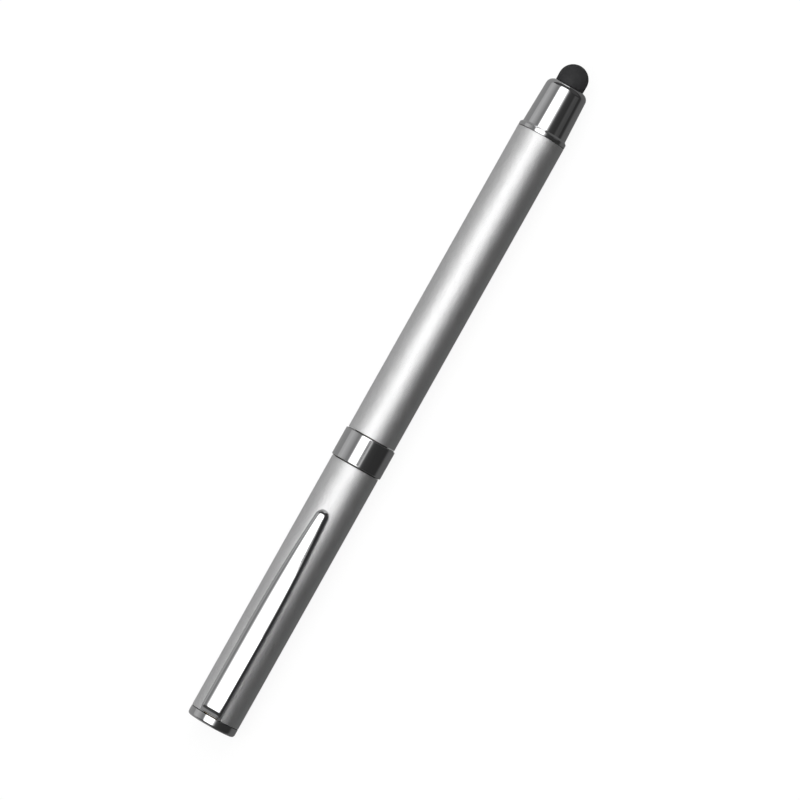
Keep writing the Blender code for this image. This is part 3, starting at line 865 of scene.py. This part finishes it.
def make_refill_tip():
    """The steel writing point, with the ball's socket and the bore of the feed rod."""
    ball_gap = 0.00004
    socket = ball_radius + ball_gap
    socket_floor = ball_high.x + ball_gap
    rim = 0.00012
    rim_edge = 0.00003
    cone_length = 0.0019
    cone_edge = 0.0003
    end_edge = 0.0001
    channel = 0.0002
    rod_bore = 0.0007
    rod_depth = 0.0060
    rod_seat = point_end - rod_depth
    outline = soften([
        (point_face, socket, 0.0),
        (point_face, socket + rim, rim_edge),
        (point_face + cone_length, point_radius, cone_edge),
        (point_end, point_radius, end_edge),
        (point_end, rod_bore, 0.0),
        (rod_seat, rod_bore, 0.0),
        (rod_seat, channel, 0.0),
        (socket_floor, channel, 0.0),
        (socket_floor, socket, 0.0),
    ])
    add_piece("refill_tip_turned", turned(outline, small_segments), steel, "refill", "refill_tip", "steel")


def make_refill_ball():
    """The ground ball in the writing point."""
    middle = (ball_low.x + ball_high.x) / 2
    outline = arc((middle, 0.0), ball_radius, 180, 0, 24)
    outline[0] = Vector((middle - ball_radius, 0.0))
    outline[-1] = Vector((middle + ball_radius, 0.0))
    ball = turned(outline, small_segments)
    add_piece("refill_ball_ground", ball, steel, "ball", "refill_ball", "steel")


make_cap_tube()
make_cap_liner()
make_cap_band()
make_cap_finial()
make_clip()
make_barrel_tube()
make_barrel_bush()
make_stylus_collar()
make_stylus_tip()
make_spring()
make_grip_section()
make_nose_cone()
make_section_ring()
make_refill_tip()
make_refill_ball()

# The pieces that stay inside keep their CAD shape
inner_materials = {
    "clip_anchor": brass,
    "stylus_core": black_plastic,
    "refill_head": black_plastic,
    "refill_tube": milky_plastic,
    "refill_tail_plug": black_plastic,
    "ink_filler": fibre,
    "feed_rod": fibre,
}
for node, material in inner_materials.items():
    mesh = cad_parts[node].data
    mesh.materials.clear()
    mesh.materials.append(material)


# Camera, above the pen and leaned a little to one side of the clip
view_roll = math.radians(10.7)
pen_lean = math.radians(29.33)
camera_distance = 0.86
camera_foot = -0.0107
frame_width = 0.148126
aim_along = -0.000983
aim_across = 0.001273
pen_direction = Vector((1.0, 0.0, 0.0))
to_camera = Vector((0.0, -math.sin(view_roll), math.cos(view_roll)))
across_view = pen_direction.cross(to_camera)
image_right = math.sin(pen_lean) * pen_direction + math.cos(pen_lean) * across_view


def on_axis_at(along):
    """A point on the pen's axis."""
    return Vector((along, 0.0, axis_height))


def make_camera():
    """The camera at the photograph's viewing angle."""
    data = bpy.data.cameras.new("camera")
    data.sensor_width = 36.0
    data.lens = data.sensor_width * camera_distance / frame_width
    data.clip_start = 0.01
    camera = bpy.data.objects.new("camera", data)
    bpy.context.scene.collection.objects.link(camera)
    place = on_axis_at(camera_foot) + to_camera * camera_distance
    target = on_axis_at(aim_along) + image_right * aim_across
    back = (place - target).normalized()
    right = (image_right - back * image_right.dot(back)).normalized()
    up = back.cross(right)
    turn = Matrix((right, up, back)).transposed().to_4x4()
    camera.matrix_world = Matrix.Translation(place) @ turn
    bpy.context.scene.camera = camera


make_camera()


# Studio: light from all round, and a floor with its tone, its share of plain white and its half width
ambient_light = 0.5
floor_tone = 0.92
floor_white_share = 0.9
floor_half_width = 3.0


def seen_directly(tree):
    """1 for camera, glossy and transmission rays, else 0."""
    path = tree.nodes.new("ShaderNodeLightPath")
    value = path.outputs["Is Camera Ray"]
    for ray in ("Is Glossy Ray", "Is Transmission Ray"):
        larger = tree.nodes.new("ShaderNodeMath")
        larger.operation = "MAXIMUM"
        tree.links.new(value, larger.inputs[0])
        tree.links.new(path.outputs[ray], larger.inputs[1])
        value = larger.outputs["Value"]
    return value


def make_world():
    """A white background, and a soft grey light from all round."""
    world = bpy.data.worlds.new("studio")
    world.use_nodes = True
    tree = world.node_tree
    tree.nodes.clear()
    light = tree.nodes.new("ShaderNodeBackground")
    light.inputs["Strength"].default_value = ambient_light
    white = tree.nodes.new("ShaderNodeBackground")
    white.inputs["Strength"].default_value = 1.0
    for background in (light, white):
        background.inputs["Color"].default_value = (1.0, 1.0, 1.0, 1.0)
    choose = tree.nodes.new("ShaderNodeMixShader")
    output = tree.nodes.new("ShaderNodeOutputWorld")
    tree.links.new(seen_directly(tree), choose.inputs[0])
    tree.links.new(light.outputs[0], choose.inputs[1])
    tree.links.new(white.outputs[0], choose.inputs[2])
    tree.links.new(choose.outputs[0], output.inputs["Surface"])
    bpy.context.scene.world = world


def make_floor():
    """A pale floor that looks white and keeps the pen's shadow."""
    material = bpy.data.materials.new("floor")
    material.use_nodes = True
    tree = material.node_tree
    tree.nodes.clear()
    paper = tree.nodes.new("ShaderNodeBsdfDiffuse")
    paper.inputs["Color"].default_value = (floor_tone, floor_tone, floor_tone, 1.0)
    white = tree.nodes.new("ShaderNodeEmission")
    white.inputs["Strength"].default_value = 1.0
    share = tree.nodes.new("ShaderNodeMath")
    share.operation = "MULTIPLY"
    share.inputs[1].default_value = floor_white_share
    choose = tree.nodes.new("ShaderNodeMixShader")
    output = tree.nodes.new("ShaderNodeOutputMaterial")
    tree.links.new(seen_directly(tree), share.inputs[0])
    tree.links.new(share.outputs["Value"], choose.inputs[0])
    tree.links.new(paper.outputs[0], choose.inputs[1])
    tree.links.new(white.outputs[0], choose.inputs[2])
    tree.links.new(choose.outputs[0], output.inputs["Surface"])
    mesh_edit = bmesh.new()
    bmesh.ops.create_grid(mesh_edit, x_segments=1, y_segments=1, size=floor_half_width)
    mesh = bpy.data.meshes.new("floor")
    mesh_edit.to_mesh(mesh)
    mesh_edit.free()
    mesh.materials.append(material)
    floor = bpy.data.objects.new("floor", mesh)
    bpy.context.scene.collection.objects.link(floor)


def glow_material():
    """A panel's light, as bright at each point as its glow attribute says."""
    material = bpy.data.materials.new("panel light")
    material.use_nodes = True
    tree = material.node_tree
    tree.nodes.clear()
    glow = tree.nodes.new("ShaderNodeAttribute")
    glow.attribute_name = "glow"
    light = tree.nodes.new("ShaderNodeEmission")
    output = tree.nodes.new("ShaderNodeOutputMaterial")
    tree.links.new(glow.outputs["Fac"], light.inputs["Strength"])
    tree.links.new(light.outputs[0], output.inputs["Surface"])
    return material


panel_light = glow_material()


def add_panel(name, points, glow, lights_all):
    """A sheet of light from a grid of points, seen in reflections and, if asked, lighting matt surfaces."""
    count_a, count_b = glow.shape
    faces = []
    for a in range(count_a - 1):
        for b in range(count_b - 1):
            corner = a * count_b + b
            faces.append((corner, corner + 1, corner + count_b + 1, corner + count_b))
    mesh = bpy.data.meshes.new(name)
    mesh.from_pydata([tuple(point) for point in points], [], faces)
    attribute = mesh.attributes.new("glow", "FLOAT", "POINT")
    attribute.data.foreach_set("value", glow.astype(np.float32).ravel())
    mesh.materials.append(panel_light)
    panel = bpy.data.objects.new(name, mesh)
    bpy.context.scene.collection.objects.link(panel)
    panel.visible_camera = False
    panel.visible_shadow = False
    panel.visible_diffuse = lights_all


# Light round the pen: angles in degrees to the right of the line of sight, and brightness there
panel_radius = 0.55
panel_half_length = 0.36
softbox_angles = (-43.5, -42.5, -35.0, -20.0, -10.0, 2.5, 6.0, 10.0, 14.0, 17.0)
softbox_glow = (0.32, 0.32, 3.0, 3.0, 3.1, 3.6, 1.6, 0.82, 0.28, 0.15)
left_angles = (-103.0, -92.0, -82.0, -70.0, -60.0, -52.0, -43.5)
left_glow = (0.58, 0.62, 0.67, 0.55, 0.44, 0.32, 0.32)
right_angles = (17.0, 22.0, 30.0, 50.0, 100.0)
right_glow = (0.15, 0.085, 0.06, 0.047, 0.045)

# A narrow screen between the softbox and the middle of the pen, seen in the band
screen_angles = (-5.0, -3.0, -1.0, 1.5, 4.5, 8.5, 12.0, 14.5, 17.0)
screen_glow = (2.45, 1.4, 0.6, 0.28, 0.3, 0.68, 0.74, 0.4, 0.15)
screen_radius = 0.54
screen_start = -0.026
screen_end = 0.0

# A second screen beyond the tail and to its right, seen in the collar
tail_screen_angles = (47.0, 57.0, 68.0, 78.0, 84.0)
tail_screen_glow = (0.05, 0.115, 0.10, 0.09, 0.05)
tail_screen_start = 0.11
tail_screen_end = 0.21

# Cards that the chrome sees on the floor and beyond both ends: distances from a side, and brightness
card_height = 0.00005
card_gap = 0.001
left_card_stops = (0.0, panel_radius)
left_card_glow = (0.385, 0.385)
right_card_stops = (0.0, 0.0154, 0.0194, 0.0258, 0.031, 0.038, panel_radius)
right_card_glow = (0.165, 0.165, 0.14, 0.085, 0.06, 0.045, 0.04)
end_card_side = -0.02
end_card_stops = (0.0, 0.08, 0.13, panel_radius)
end_card_glow = (0.40, 0.36, 0.10, 0.07)
dark_card_stops = (0.0, panel_radius)
dark_card_glow = (0.06, 0.06)
blend_card_height = 0.09
blend_card_stops = (0.0, 0.05)
blend_card_glow = (0.38, 0.06)
far_card_stops = (0.0, 0.32)
far_card_glow = (0.08, 0.08)
horizon_card_side = -0.012
horizon_card_width = 0.097
horizon_card_stops = (0.0, 0.015)
horizon_card_glow = (1.76, 1.76)
tail_card_start = 0.13
tail_card_stops = (-0.004, 0.04)
tail_card_glow = (1.76, 1.76)


def make_curved_panel(name, angles, glow, lights_all, radius, start, end, closed):
    """A panel curved round the pen's axis. A closed one runs in to the axis at its far end."""
    fine_angles = np.unique(np.concatenate([np.linspace(a, b, 5) for a, b in zip(angles, angles[1:])]))
    points = []
    for angle in np.radians(fine_angles):
        outward = math.cos(angle) * to_camera + math.sin(angle) * across_view
        points += [on_axis_at(along) + outward * radius for along in (start, end)]
        if closed:
            points.append(on_axis_at(end))
    values = np.interp(fine_angles, angles, glow)
    add_panel(name, points, np.repeat(values[:, None], 3 if closed else 2, axis=1), lights_all)


def make_surround(name, angles, glow, lights_all):
    """One of the large panels round the pen."""
    make_curved_panel(name, angles, glow, lights_all, panel_radius,
                      -panel_half_length, panel_half_length, True)


def make_card(name, corner, side, outward, stops, glow):
    """A flat card, seen only in reflections."""
    points = [start + outward * stop for start in (corner, corner + side) for stop in stops]
    add_panel(name, points, np.array([glow, glow]), False)


make_world()
make_floor()
make_surround("softbox", softbox_angles, softbox_glow, True)
make_surround("left_panel", left_angles, left_glow, False)
make_surround("right_panel", right_angles, right_glow, False)
make_curved_panel("screen", screen_angles, screen_glow, False,
                  screen_radius, screen_start, screen_end, False)
make_curved_panel("tail_screen", tail_screen_angles, tail_screen_glow, False,
                  screen_radius, tail_screen_start, tail_screen_end, False)
to_left = Vector((0.0, 1.0, 0.0))
up = Vector((0.0, 0.0, 1.0))
card_corner = Vector((-panel_half_length, 0.0, card_height))
card_length = Vector((2 * panel_half_length, 0.0, 0.0))
make_card("left_card", card_corner, card_length, to_left, left_card_stops, left_card_glow)
make_card("right_card", card_corner, card_length, -to_left, right_card_stops, right_card_glow)
tail_corner = Vector((tail_card_start, 0.0, 2 * card_height))
tail_length = Vector((panel_half_length - tail_card_start, 0.0, 0.0))
make_card("tail_card", tail_corner, tail_length, to_left, tail_card_stops, tail_card_glow)
end_corner = Vector((-panel_half_length, end_card_side, 0.0))
end_width = to_left * (panel_radius - end_card_side)
make_card("end_card", end_corner, end_width, up, end_card_stops, end_card_glow)
dark_width = -to_left * (panel_radius + end_card_side)
make_card("dark_card", end_corner, dark_width, up, dark_card_stops, dark_card_glow)
blend_corner = end_corner + pen_direction * card_gap
blend_height = up * blend_card_height
make_card("blend_card", blend_corner, blend_height, -to_left, blend_card_stops, blend_card_glow)
far_corner = Vector((screen_radius / panel_radius * panel_half_length, -panel_radius, 0.0))
make_card("far_card", far_corner, to_left * 2 * panel_radius, up, far_card_stops, far_card_glow)
horizon_corner = Vector((far_corner.x - card_gap, horizon_card_side, 0.0))
horizon_width = to_left * horizon_card_width
make_card("horizon_card", horizon_corner, horizon_width, up, horizon_card_stops, horizon_card_glow)

bpy.context.scene.view_settings.view_transform = "Standard"
